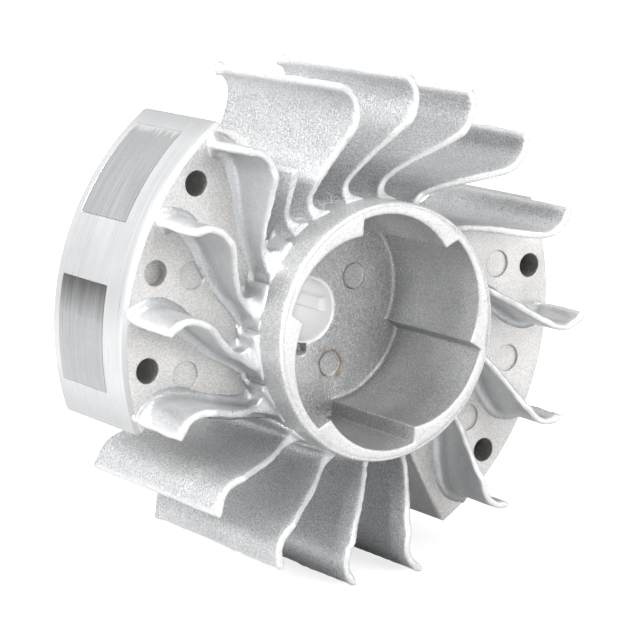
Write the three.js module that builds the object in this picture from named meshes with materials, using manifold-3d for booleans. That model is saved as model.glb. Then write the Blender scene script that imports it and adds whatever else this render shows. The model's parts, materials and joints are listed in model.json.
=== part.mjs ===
// Flywheel of a small two-stroke engine, in millimetres, +Z up.
// The crank axis is Y. The starter cup opens towards -Y and its rim lies in the plane y = 0.
// Angles are in degrees in the XZ plane, counted from +X towards +Z.
import * as THREE from 'three';
import { mergeVertices } from 'three/addons/utils/BufferGeometryUtils.js';
import Module from 'manifold-3d';

const wasm = await Module();
wasm.setup();

// Starter cup
const cupRadius = 22.5;
const cupDepth = 24.8;
const rimRound = 0.5;
const ratchetCount = 6;
const ratchetFirstAngle = 105;
const ratchetLean = 3;
const ratchetDeepWall = 1.7;
const ratchetToothWall = 4.3;
const rampPower = 2;
const rampPoints = 9;
const wallOverlap = 0.9;

// Floor, hub and back of the drum
const floorThickness = 4.5;
const skirtWall = 4;
const skirtBehindFloor = 4.7;
const hubRadius = 12.5;
const hubBehindFloor = 9.2;
const hubChamfer = 0.8;
const backRibCount = 6;
const backRibWidth = 2.2;
const boreFrontRadius = 5.6;
const boreTaperRatio = 8;
const keyWidth = 2.6;
const keyHeight = 1.1;
const keySetback = 2.5;
const notchWidth = 2.1;
const notchLength = 2.7;
const notchDepth = 2.4;
const floorMarkCircle = 11.6;
const floorMarkFirstAngle = 26;
const floorMarkCount = 4;

// Outer band and the two thick sectors
const bandRadius = 45.5;
const plateFront = 12.2;
const bandBevel = 0.5;
const bandBevelLength = 1;
const bandBack = 35.7;
const bandBackBevel = 0.7;
const arcStep = 2.5;

// Fins, each named by the angle of its tip
const finTipInset = 1.2;
const finBack = 39.8;
const finRootFront = 10.5;
const finFrontFlatRadius = 36.5;
const finRootBackStep = 0.6;
const finBackFlatRadius = 33;
const finThickness = 1.2;
const finRootFlare = 2.6;
const finFlareReach = 4.5;
const finSteps = 10;
const finRootLead = 13;
const finInnerReach = 4.5;
const finInnerLead = 15;
const finOuterReach = 7.8;
const finOuterLead = -13;
const deepFinTips = [103, 85, 67, 47, 24, -80, -99, -120, -142];
const magnetSectorFinTips = [131, 152, 174, 197];
const weightSectorFinTips = [-2, -27, -52];

// Magnet sector, ended by its first and last fin
const magnetSectorTopMargin = 5.5;
const magnetSectorFootMargin = 1.5;

// The fin beside the magnet sector, which is cut off a short way out from the cup
const cutFinTip = 114;
const cutFinReach = 9.5;
const cutFinFrontRise = 4;

// Counterweight sector, from under the 24 degree fin to a plain end
const weightSectorTopTip = 24;
const weightSectorEndAngle = -62;

// Holes that the mould pins leave, and the flat ejector marks
const locatorInset = 4.3;
const magnetLocatorAngle = 162;
const magnetLocatorSpread = 23;
const middleLocatorDepth = 2.2;
const weightLocatorAngles = [8, -42];
const markRadius = 2.45;
const markDepth = 0.4;
const plateMarks = [
  { radius: 34, angle: 160 },
  { radius: 34, angle: 189 },
  { radius: 34, angle: 11.5 },
  { radius: 37.6, angle: -17 },
  { radius: 34, angle: -38 },
];

// Magnet and its two laminated pole shoes
const magnetAngle = 160.2;
const poleFrontCover = 7.2;
const poleBackCover = 1.9;
const laminationCount = 12;
const laminationGap = 0.02;
const poleOuterAngle = 30;
const poleDepth = 13;
const magnetWidth = 11;
const magnetDepth = 7;
const magnetCover = 5.5;
const magnetFit = 0.05;
const insertFit = 0.05;
const rivetRadius = 1.5;
const rivetHeadLip = 0.45;
const rivetHeadHeight = 0.7;
const rivetFit = 0.05;
const rivetHeadSpace = 0.15;
const rivetHeadClearance = 0.25;

// Steel counterweight
const weightCover = 2.3;
const weightDepth = 8.2;
const weightFrontCover = 6.2;
const weightThickness = 9.9;
const weightEndReach = 6;

const floorBack = cupDepth + floorThickness;
const skirtBack = floorBack + skirtBehindFloor;
const hubBack = floorBack + hubBehindFloor;
const boreBackRadius = boreFrontRadius + (hubBack - cupDepth) / boreTaperRatio / 2;
const ratchetDeepRadius = cupRadius - ratchetDeepWall;
const ratchetToothRadius = cupRadius - ratchetToothWall;

const finTipRadius = bandRadius - finTipInset;
const finRootBack = skirtBack - finRootBackStep;

const rivetHeadRadius = rivetRadius + rivetHeadLip;
const locatorRadius = rivetHeadRadius + rivetHeadClearance;
const locatorCircle = bandRadius - locatorInset;
const poleFront = plateFront + poleFrontCover;
const poleBack = bandBack - poleBackCover;
const poleInnerRadius = bandRadius - poleDepth;
const magnetHalfWidth = magnetWidth / 2;
const magnetOuterRadius = bandRadius - magnetCover;
const magnetInnerRadius = magnetOuterRadius - magnetDepth;

const weightOuterRadius = bandRadius - weightCover;
const weightInnerRadius = weightOuterRadius - weightDepth;
const weightFront = plateFront + weightFrontCover;
const weightBack = weightFront + weightThickness;

// Shared shape helpers

function toSolid(geometry) {
  const bare = geometry.clone();
  bare.deleteAttribute('normal');
  bare.deleteAttribute('uv');
  const merged = mergeVertices(bare, 1e-4);
  const places = merged.attributes.position.array;
  const corners = merged.index.array;
  const kept = [];
  for (let i = 0; i < corners.length; i += 3) {
    const [a, b, c] = [corners[i], corners[i + 1], corners[i + 2]];
    if (a !== b && b !== c && a !== c) kept.push(a, b, c);
  }
  const mesh = new wasm.Mesh({
    numProp: 3,
    vertProperties: new Float32Array(places),
    triVerts: new Uint32Array(kept),
  });
  return new wasm.Manifold(mesh);
}

function toGeometry(solid) {
  const mesh = solid.getMesh();
  const geometry = new THREE.BufferGeometry();
  geometry.setAttribute('position', new THREE.BufferAttribute(mesh.vertProperties, 3));
  geometry.setIndex(new THREE.BufferAttribute(mesh.triVerts, 1));
  return geometry;
}

function radians(degrees) {
  return degrees * Math.PI / 180;
}

function polar(radius, angle) {
  return new THREE.Vector2(radius * Math.cos(radians(angle)), radius * Math.sin(radians(angle)));
}

// A flat outline in XZ carried from one Y to another.
function slab(outline, yFrom, yTo) {
  const geometry = new THREE.ExtrudeGeometry(new THREE.Shape(outline), {
    depth: yTo - yFrom,
    bevelEnabled: false,
    steps: 1,
  });
  geometry.rotateX(Math.PI / 2);
  geometry.translate(0, yTo, 0);
  return toSolid(geometry);
}

// A closed profile of [radius, y] pairs turned about the crank axis. It is listed so that the
// material lies on the left when walking along it.
function turned(profile, segments) {
  const points = profile.map(([radius, y]) => new THREE.Vector2(radius, y));
  points.push(points[0].clone());
  return toSolid(new THREE.LatheGeometry(points, segments));
}

function pin(centre, radius, yFrom, yTo, segments) {
  const geometry = new THREE.CylinderGeometry(radius, radius, yTo - yFrom, segments);
  geometry.translate(centre.x, (yFrom + yTo) / 2, centre.y);
  return toSolid(geometry);
}

function arcPoints(radius, fromAngle, toAngle) {
  const count = Math.max(2, Math.ceil(Math.abs(toAngle - fromAngle) / arcStep));
  const points = [];
  for (let i = 0; i <= count; i += 1) {
    points.push(polar(radius, fromAngle + (toAngle - fromAngle) * i / count));
  }
  return points;
}

function joinAll(solids) {
  return solids.reduce((whole, solid) => whole.add(solid));
}

function material(color, roughness, metalness) {
  return new THREE.MeshStandardMaterial({ color, roughness, metalness });
}

function node(name, solid, finish) {
  const mesh = new THREE.Mesh(toGeometry(solid), finish);
  mesh.name = name;
  return mesh;
}

// Starter cup, floor and hub

// Six ramps. Each runs clockwise from a deep pocket to a tooth, closing in faster and faster, then
// steps out again.
function ratchetOutline() {
  const pitch = 360 / ratchetCount;
  const points = [];
  for (let tooth = 0; tooth < ratchetCount; tooth += 1) {
    const start = ratchetFirstAngle - pitch * tooth;
    for (let i = 0; i <= rampPoints; i += 1) {
      const share = i / rampPoints;
      const closing = share ** rampPower;
      const radius = ratchetDeepRadius + (ratchetToothRadius - ratchetDeepRadius) * closing;
      points.push(polar(radius, start - (pitch - ratchetLean) * share));
    }
  }
  return points;
}

function drum() {
  return turned([
    [0, 0],
    [cupRadius - rimRound, 0],
    [cupRadius, rimRound],
    [cupRadius, skirtBack],
    [cupRadius - skirtWall, skirtBack],
    [cupRadius - skirtWall, floorBack],
    [hubRadius, floorBack],
    [hubRadius, hubBack - hubChamfer],
    [hubRadius - hubChamfer, hubBack],
    [0, hubBack],
  ], 72);
}

function taperedBore() {
  return turned([
    [0, cupDepth - 1],
    [boreFrontRadius, cupDepth - 1],
    [boreFrontRadius, cupDepth],
    [boreBackRadius, hubBack],
    [boreBackRadius, hubBack + 1],
    [0, hubBack + 1],
  ], 40);
}

// The key that sits in the crankshaft's slot, cast in one with the hub on the +X side.
function key() {
  const half = keyWidth / 2;
  return slab([
    new THREE.Vector2(boreFrontRadius - keyHeight, -half),
    new THREE.Vector2(hubRadius - hubChamfer, -half),
    new THREE.Vector2(hubRadius - hubChamfer, half),
    new THREE.Vector2(boreFrontRadius - keyHeight, half),
  ], cupDepth + keySetback, hubBack);
}

function backRibs() {
  const ribs = [];
  for (let i = 0; i < backRibCount; i += 1) {
    const angle = 360 * i / backRibCount;
    const inner = polar(hubRadius - 1, angle);
    const outer = polar(cupRadius - 1, angle);
    const side = polar(backRibWidth / 2, angle + 90);
    ribs.push(slab([
      inner.clone().sub(side),
      outer.clone().sub(side),
      outer.clone().add(side),
      inner.clone().add(side),
    ], floorBack - 1, skirtBack));
  }
  return joinAll(ribs);
}

function floorNotch() {
  const top = -(boreFrontRadius - 0.4);
  return slab([
    new THREE.Vector2(-notchWidth, top),
    new THREE.Vector2(0, top),
    new THREE.Vector2(0, top - notchLength),
    new THREE.Vector2(-notchWidth, top - notchLength),
  ], cupDepth - 1, cupDepth + notchDepth);
}

function floorMarks() {
  const marks = [];
  for (let i = 0; i < floorMarkCount; i += 1) {
    const centre = polar(floorMarkCircle, floorMarkFirstAngle + 360 * i / floorMarkCount);
    marks.push(pin(centre, markRadius, cupDepth - 1, cupDepth + markDepth, 16));
  }
  return joinAll(marks);
}

// Fins

// Where a fin's middle line is at a share of the way from root to tip: its radius, and how far
// it leads its own tip in angle.
function finMiddle(share) {
  const curve = new THREE.CubicBezierCurve(
    new THREE.Vector2(cupRadius, finRootLead),
    new THREE.Vector2(cupRadius + finInnerReach, finInnerLead),
    new THREE.Vector2(finTipRadius - finOuterReach, finOuterLead),
    new THREE.Vector2(finTipRadius, 0),
  );
  const point = curve.getPoint(share);
  return { radius: point.x, lead: point.y };
}

function finLine(tipAngle) {
  const points = [polar(cupRadius - wallOverlap, tipAngle + finRootLead)];
  for (let i = 0; i <= finSteps; i += 1) {
    const { radius, lead } = finMiddle(i / finSteps);
    points.push(polar(radius, tipAngle + lead));
  }
  return points;
}

function finWidth(radius) {
  const near = Math.max(0, 1 - Math.max(0, radius - cupRadius) / finFlareReach);
  return finThickness + finRootFlare * near * near;
}

function finOutline(tipAngle) {
  const line = finLine(tipAngle);
  const left = [];
  const right = [];
  line.forEach((point, i) => {
    const before = line[Math.max(0, i - 1)];
    const after = line[Math.min(line.length - 1, i + 1)];
    const along = after.clone().sub(before).normalize();
    const half = finWidth(point.length()) / 2;
    const side = new THREE.Vector2(-along.y, along.x).multiplyScalar(half);
    left.push(point.clone().add(side));
    right.unshift(point.clone().sub(side));
  });
  return [...left, ...right];
}

// The front edges fall back towards the cup, and the rear edges fall forward to its skirt.
function finFrontTrim() {
  return turned([
    [0, -1],
    [finFrontFlatRadius, -1],
    [finFrontFlatRadius, 0],
    [cupRadius, finRootFront],
    [0, finRootFront],
  ], 72);
}

function finBackTrim() {
  return turned([
    [0, finRootBack],
    [cupRadius, finRootBack],
    [finBackFlatRadius, finBack],
    [finBackFlatRadius, finBack + 1],
    [0, finBack + 1],
  ], 72);
}

function fins() {
  const deep = deepFinTips.map((tip) => slab(finOutline(tip), 0, finBack));
  const shortTips = [...magnetSectorFinTips, ...weightSectorFinTips];
  const short = shortTips.map((tip) => slab(finOutline(tip), 0, plateFront + 1));
  return joinAll([...deep, ...short]).subtract(finFrontTrim()).subtract(finBackTrim());
}

// The cut-off fin keeps the others' curve, but its front edge rises less on the way out.
function cutFin() {
  const reach = cupRadius + cutFinReach;
  const room = turned([
    [0, finRootFront],
    [cupRadius, finRootFront],
    [reach, finRootFront - cutFinFrontRise],
    [reach, finRootBack],
    [0, finRootBack],
  ], 72);
  return slab(finOutline(cutFinTip), 0, finRootBack + 1).intersect(room);
}

// Sectors

// An end that follows a fin, from the cup wall out to the band.
function finEnd(tipAngle) {
  return [...finLine(tipAngle), polar(bandRadius, tipAngle)];
}

function magnetSector() {
  const topTip = magnetSectorFinTips[0] - magnetSectorTopMargin;
  const footTip = magnetSectorFinTips[magnetSectorFinTips.length - 1] + magnetSectorFootMargin;
  const outline = [
    ...finEnd(topTip),
    ...arcPoints(bandRadius, topTip, footTip).slice(1, -1),
    ...finEnd(footTip).reverse(),
    ...arcPoints(cupRadius - wallOverlap, footTip + finRootLead, topTip + finRootLead).slice(1, -1),
  ];
  return slab(outline, plateFront, bandBack);
}

function weightSector() {
  const outline = [
    ...finEnd(weightSectorTopTip).reverse(),
    ...arcPoints(cupRadius - wallOverlap, weightSectorTopTip + finRootLead, weightSectorEndAngle)
      .slice(1),
    ...arcPoints(bandRadius, weightSectorEndAngle, weightSectorTopTip).slice(0, -1),
  ];
  return slab(outline, plateFront, bandBack);
}

// What turning the outer band takes off its front and rear corners.
function bandBevels() {
  const reach = 1;
  const rise = bandBevelLength / bandBevel;
  const front = turned([
    [bandRadius - bandBevel, plateFront - 1],
    [bandRadius + reach, plateFront - 1],
    [bandRadius + reach, plateFront + bandBevelLength + rise * reach],
    [bandRadius - bandBevel, plateFront],
  ], 144);
  const back = turned([
    [bandRadius - bandBackBevel, bandBack],
    [bandRadius + reach, bandBack - bandBackBevel - reach],
    [bandRadius + reach, bandBack + reach],
    [bandRadius - bandBackBevel, bandBack + reach],
  ], 144);
  return front.add(back);
}

function plateMarkPits() {
  return joinAll(plateMarks.map(({ radius, angle }) => (
    pin(polar(radius, angle), markRadius, plateFront - 1, plateFront + markDepth, 16)
  )));
}

// Magnet, pole shoes and their rivets

// A point beside the magnet's middle line: how far across it, and how far out from the axis.
function besideMagnet(across, out) {
  const outward = polar(out, magnetAngle);
  const sideways = polar(across, magnetAngle + 90);
  return outward.add(sideways);
}

// side is -1 or +1. grow widens the outline to make the pocket that holds the shoe.
function poleOutline(side, grow) {
  const inner = magnetHalfWidth + magnetFit - grow;
  const outerRadius = bandRadius + (grow > 0 ? 1 : 0);
  const endAngle = poleOuterAngle + THREE.MathUtils.radToDeg(grow / poleInnerRadius);
  const startAngle = THREE.MathUtils.radToDeg(Math.asin(inner / outerRadius));
  const heel = (poleInnerRadius - grow) * Math.tan(radians(endAngle));
  const points = [besideMagnet(side * inner, poleInnerRadius - grow)];
  for (let i = 0; i <= rampPoints; i += 1) {
    const angle = startAngle + (endAngle - startAngle) * i / rampPoints;
    points.push(polar(outerRadius, magnetAngle + side * angle));
  }
  points.push(besideMagnet(side * heel, poleInnerRadius - grow));
  return points;
}

function magnetOutline(grow) {
  const half = magnetHalfWidth + grow;
  return [
    besideMagnet(-half, magnetInnerRadius - grow),
    besideMagnet(half, magnetInnerRadius - grow),
    besideMagnet(half, magnetOuterRadius + grow),
    besideMagnet(-half, magnetOuterRadius + grow),
  ];
}

function rivetCentre(side) {
  return polar(locatorCircle, magnetLocatorAngle + side * magnetLocatorSpread);
}

function poleRivet(side) {
  const centre = rivetCentre(side);
  const half = rivetHeadHeight / 2;
  const profile = [
    [0, poleFront - rivetHeadHeight],
    [rivetHeadRadius * 0.6, poleFront - rivetHeadHeight],
    [rivetHeadRadius, poleFront - half],
    [rivetHeadRadius, poleFront],
    [rivetRadius, poleFront],
    [rivetRadius, poleBack],
    [rivetHeadRadius, poleBack],
    [rivetHeadRadius, poleBack + half],
    [rivetHeadRadius * 0.6, poleBack + rivetHeadHeight],
    [0, poleBack + rivetHeadHeight],
  ];
  return turned(profile, 16).translate([centre.x, 0, centre.y]);
}

function lamination(side, index) {
  const pitch = (poleBack - poleFront) / laminationCount;
  const yFrom = poleFront + pitch * index;
  const sheet = slab(poleOutline(side, 0), yFrom + laminationGap / 2, yFrom + pitch - laminationGap / 2);
  const hole = pin(rivetCentre(side), rivetRadius + rivetFit, yFrom - 1, yFrom + pitch + 1, 16);
  return sheet.subtract(hole);
}

// The room that the whole magnet assembly takes in the casting.
function magnetPocket() {
  const yFrom = poleFront - insertFit;
  const yTo = poleBack + insertFit;
  const rooms = [slab(magnetOutline(insertFit), yFrom, yTo)];
  for (const side of [-1, 1]) {
    const centre = rivetCentre(side);
    rooms.push(slab(poleOutline(side, insertFit), yFrom, yTo));
    rooms.push(pin(centre, locatorRadius, plateFront - 1, poleFront, 16));
    rooms.push(pin(centre, locatorRadius, poleBack, poleBack + rivetHeadHeight + rivetHeadSpace, 16));
  }
  const middle = polar(locatorCircle, magnetLocatorAngle);
  rooms.push(pin(middle, locatorRadius, plateFront - 1, plateFront + middleLocatorDepth, 16));
  return joinAll(rooms);
}

// Counterweight

function weightOutline(grow) {
  const turn = THREE.MathUtils.radToDeg(grow / weightInnerRadius);
  const from = weightLocatorAngles[1] - weightEndReach - turn;
  const to = weightLocatorAngles[0] + weightEndReach + turn;
  return [
    ...arcPoints(weightOuterRadius + grow, from, to),
    ...arcPoints(weightInnerRadius - grow, to, from),
  ];
}

function weightBar() {
  return slab(weightOutline(0), weightFront, weightBack);
}

function weightPocket() {
  const rooms = [slab(weightOutline(insertFit), weightFront - insertFit, weightBack + insertFit)];
  for (const angle of weightLocatorAngles) {
    rooms.push(pin(polar(locatorCircle, angle), locatorRadius, plateFront - 1, weightFront, 16));
  }
  return joinAll(rooms);
}

// Casting

function casting() {
  const sectors = magnetSector().add(weightSector()).subtract(bandBevels());
  const outside = joinAll([drum(), backRibs(), sectors, fins(), cutFin()]);
  return outside
    .subtract(slab(ratchetOutline(), -1, cupDepth))
    .subtract(taperedBore())
    .add(key())
    .subtract(floorNotch())
    .subtract(floorMarks())
    .subtract(plateMarkPits())
    .subtract(magnetPocket())
    .subtract(weightPocket());
}

// Assembly

const flywheel = new THREE.Group();
flywheel.name = 'flywheel';

flywheel.add(node('body_casting', casting(), material(0xb9bbbd, 0.55, 0.85)));
flywheel.add(node('magnet', slab(magnetOutline(0), poleFront, poleBack), material(0x3c3d40, 0.6, 0.3)));
flywheel.add(node('counterweight_bar', weightBar(), material(0x6d5a4c, 0.7, 0.6)));

const shoes = [{ name: 'upper_pole', side: -1 }, { name: 'lower_pole', side: 1 }];
for (const { name, side } of shoes) {
  for (let i = 0; i < laminationCount; i += 1) {
    const number = String(i + 1).padStart(2, '0');
    const sheet = lamination(side, i);
    flywheel.add(node(`${name}_lamination_${number}`, sheet, material(0x8d9093, 0.42, 0.9)));
  }
  flywheel.add(node(`${name}_rivet`, poleRivet(side), material(0x85878a, 0.45, 0.9)));
}

export default flywheel;
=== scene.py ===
import json
import math

import bmesh
import bpy
import numpy as np
from mathutils import Matrix, Vector

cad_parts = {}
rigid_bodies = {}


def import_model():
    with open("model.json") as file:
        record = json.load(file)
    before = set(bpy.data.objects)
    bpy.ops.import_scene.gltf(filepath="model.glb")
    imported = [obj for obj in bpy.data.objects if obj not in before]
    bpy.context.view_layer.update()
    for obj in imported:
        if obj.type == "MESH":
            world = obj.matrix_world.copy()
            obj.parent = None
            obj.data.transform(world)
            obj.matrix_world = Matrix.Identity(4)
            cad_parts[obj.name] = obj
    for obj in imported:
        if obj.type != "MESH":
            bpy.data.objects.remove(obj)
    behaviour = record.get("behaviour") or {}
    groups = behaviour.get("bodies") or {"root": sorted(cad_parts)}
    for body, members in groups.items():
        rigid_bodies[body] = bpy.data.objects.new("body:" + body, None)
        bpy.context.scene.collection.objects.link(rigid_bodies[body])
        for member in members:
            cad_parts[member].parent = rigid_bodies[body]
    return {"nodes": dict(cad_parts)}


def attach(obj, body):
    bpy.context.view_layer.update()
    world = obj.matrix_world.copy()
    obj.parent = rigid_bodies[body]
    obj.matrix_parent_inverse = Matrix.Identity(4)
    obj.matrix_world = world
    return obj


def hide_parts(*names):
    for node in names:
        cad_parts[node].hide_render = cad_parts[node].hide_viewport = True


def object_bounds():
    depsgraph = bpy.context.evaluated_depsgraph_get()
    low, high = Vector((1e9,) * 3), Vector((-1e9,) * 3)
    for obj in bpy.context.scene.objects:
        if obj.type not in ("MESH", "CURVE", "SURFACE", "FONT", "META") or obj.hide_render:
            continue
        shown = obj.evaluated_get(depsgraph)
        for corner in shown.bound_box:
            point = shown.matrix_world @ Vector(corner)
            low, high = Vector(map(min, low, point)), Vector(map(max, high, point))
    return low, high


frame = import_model()
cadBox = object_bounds()
print("frame loaded")

mm = 0.001
degreesInRadian = 57.2958


def polar(radius, degrees):
    turn = np.radians(degrees)
    return radius * np.cos(turn), radius * np.sin(turn)


def smooth(x):
    x = np.clip(x, 0, 1)
    return x * x * (3 - 2 * x)


def fillet(gap, radius):
    # how far a rounded corner stands off at this distance from the wall
    near = np.clip(radius - gap, 0, radius)
    return radius - np.sqrt(np.maximum(radius * radius - near * near, 0))


def meshObject(name, points, faces, flags=None):
    # points are in millimetres
    mesh = bpy.data.meshes.new(name)
    spots = [tuple(float(c) * mm for c in p) for p in points]
    mesh.from_pydata(spots, [], [tuple(int(i) for i in f) for f in faces])
    for flag, values in (flags or {}).items():
        layer = mesh.attributes.new(flag, "FLOAT", "POINT")
        layer.data.foreach_set("value", np.asarray(values, np.float32))
    tidy = bmesh.new()
    tidy.from_mesh(mesh)
    bmesh.ops.remove_doubles(tidy, verts=tidy.verts, dist=1e-7)
    bmesh.ops.dissolve_degenerate(tidy, edges=tidy.edges, dist=1e-8)
    bmesh.ops.recalc_face_normals(tidy, faces=tidy.faces)
    tidy.to_mesh(mesh)
    tidy.free()
    mesh.shade_smooth()
    made = bpy.data.objects.new(name, mesh)
    bpy.context.collection.objects.link(made)
    return made


def bake(obj):
    # what the modifiers make becomes the object's own mesh
    bpy.context.view_layer.update()
    graph = bpy.context.evaluated_depsgraph_get()
    shape = obj.evaluated_get(graph)
    made = bpy.data.meshes.new_from_object(shape, preserve_all_data_layers=True, depsgraph=graph)
    obj.modifiers.clear()
    old = obj.data
    obj.data = made
    made.name = obj.name
    if not old.users:
        bpy.data.meshes.remove(old)
    return obj


def sharpen(obj, degrees):
    obj.data.shade_smooth()
    obj.data.set_sharp_from_angle(angle=math.radians(degrees))
    return obj


class Tree:
    def __init__(self, name):
        self.group = bpy.data.node_groups.new(name, "GeometryNodeTree")
        self.nodes = self.group.nodes
        self.ids = {}
        self.group.interface.new_socket("Geometry", in_out="INPUT", socket_type="NodeSocketGeometry")
        self.group.interface.new_socket("Geometry", in_out="OUTPUT", socket_type="NodeSocketGeometry")
        self.start = self.nodes.new("NodeGroupInput")
        self.end = self.nodes.new("NodeGroupOutput")

    def input(self, name, kind, value=None):
        socket = self.group.interface.new_socket(name, in_out="INPUT", socket_type="NodeSocket" + kind)
        if value is not None:
            socket.default_value = value
        self.ids[name] = socket.identifier
        return self.start.outputs[name]

    def add(self, kind, inputs=None, **settings):
        made = self.nodes.new(kind)
        for key, value in settings.items():
            setattr(made, key, value)
        for key, value in (inputs or {}).items():
            socket = made.inputs[key]
            if isinstance(value, bpy.types.NodeSocket):
                self.group.links.new(value, socket)
            else:
                socket.default_value = value
        return made

    def math(self, operation, a, b=0.0):
        return self.add("ShaderNodeMath", {0: a, 1: b}, operation=operation).outputs[0]

    def attribute(self, name):
        made = self.add("GeometryNodeInputNamedAttribute", {"Name": name}, data_type="FLOAT")
        return made.outputs["Attribute"]

    def finish(self, geometry):
        self.group.links.new(geometry, self.end.inputs[0])

    def grow(self, obj, values=None):
        change = obj.modifiers.new(self.group.name, "NODES")
        change.node_group = self.group
        for name, value in (values or {}).items():
            change[self.ids[name]] = value
        return bake(obj)


class Finish:
    def __init__(self, name):
        self.material = bpy.data.materials.new(name)
        self.material.use_nodes = True
        self.tree = self.material.node_tree
        self.nodes = self.tree.nodes
        self.nodes.clear()
        self.out = self.nodes.new("ShaderNodeOutputMaterial")
        self.shader = self.nodes.new("ShaderNodeBsdfPrincipled")
        self.tree.links.new(self.shader.outputs[0], self.out.inputs[0])
        self.where = self.nodes.new("ShaderNodeTexCoord").outputs["Object"]

    def add(self, kind, inputs=None, **settings):
        made = self.nodes.new(kind)
        for key, value in settings.items():
            setattr(made, key, value)
        for key, value in (inputs or {}).items():
            socket = made.inputs[key]
            if isinstance(value, bpy.types.NodeSocket):
                self.tree.links.new(value, socket)
            else:
                socket.default_value = value
        return made

    def math(self, operation, a, b=0.0, clamp=False):
        return self.add("ShaderNodeMath", {0: a, 1: b}, operation=operation, use_clamp=clamp).outputs[0]

    def noise(self, scale, detail=3.0, rough=0.5, where=None):
        made = self.add("ShaderNodeTexNoise", {"Scale": scale, "Detail": detail, "Roughness": rough})
        self.tree.links.new(where or self.where, made.inputs["Vector"])
        return made.outputs["Fac"]

    def span(self, value, low, high, toLow=0.0, toHigh=1.0):
        return self.add("ShaderNodeMapRange", {
            "Value": value, "From Min": low, "From Max": high, "To Min": toLow, "To Max": toHigh,
        }).outputs["Result"]

    def mix(self, share, a, b):
        made = self.add("ShaderNodeMix", data_type="RGBA")
        for socket, value in ((made.inputs[0], share), (made.inputs[6], a), (made.inputs[7], b)):
            if isinstance(value, bpy.types.NodeSocket):
                self.tree.links.new(value, socket)
            else:
                socket.default_value = value
        return made.outputs[2]

    def streaks(self, factors, detail, rough):
        # noise drawn out along the axes with the small factors
        drawn = self.add("ShaderNodeVectorMath", {0: self.where, 1: factors}, operation="MULTIPLY")
        return self.noise(1.0, detail, rough, drawn.outputs[0])

    def blendNormals(self, share, a, b):
        made = self.add("ShaderNodeMix", data_type="VECTOR")
        for socket, value in ((made.inputs[0], share), (made.inputs[4], a), (made.inputs[5], b)):
            self.tree.links.new(value, socket)
        return made.outputs[1]

    def aroundFromLeft(self, parts):
        # degrees round the crank axis, zero at -X and growing upwards
        leftward = self.math("MULTIPLY", parts.outputs[0], -1.0)
        return self.math("MULTIPLY", self.math("ARCTAN2", parts.outputs[2], leftward), degreesInRadian)

    def flag(self, name):
        return self.add("ShaderNodeAttribute", attribute_name=name, attribute_type="GEOMETRY").outputs["Fac"]

    def bump(self, height, strength, distance, under=None):
        made = self.add("ShaderNodeBump", {"Height": height, "Strength": strength, "Distance": distance})
        if under is not None:
            self.tree.links.new(under, made.inputs["Normal"])
        return made.outputs["Normal"]

    def set(self, **values):
        for key, value in values.items():
            socket = self.shader.inputs[key.replace("_", " ")]
            if isinstance(value, bpy.types.NodeSocket):
                self.tree.links.new(value, socket)
            else:
                socket.default_value = value
        return self.material


def grey(level, warm=0.0):
    return (level * (1 + warm), level, level * (1 - warm), 1.0)


casting = {
    "grainScale": 3000.0,
    "grainDepth": 0.00012,
    "glintsFrom": 0.57,
    "glintsTo": 0.64,
    "patchScale": 95.0,
    "wornEdge": 0.85,
    "calmShare": 0.7,
    "bandFrom": 0.04485,
}


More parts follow.
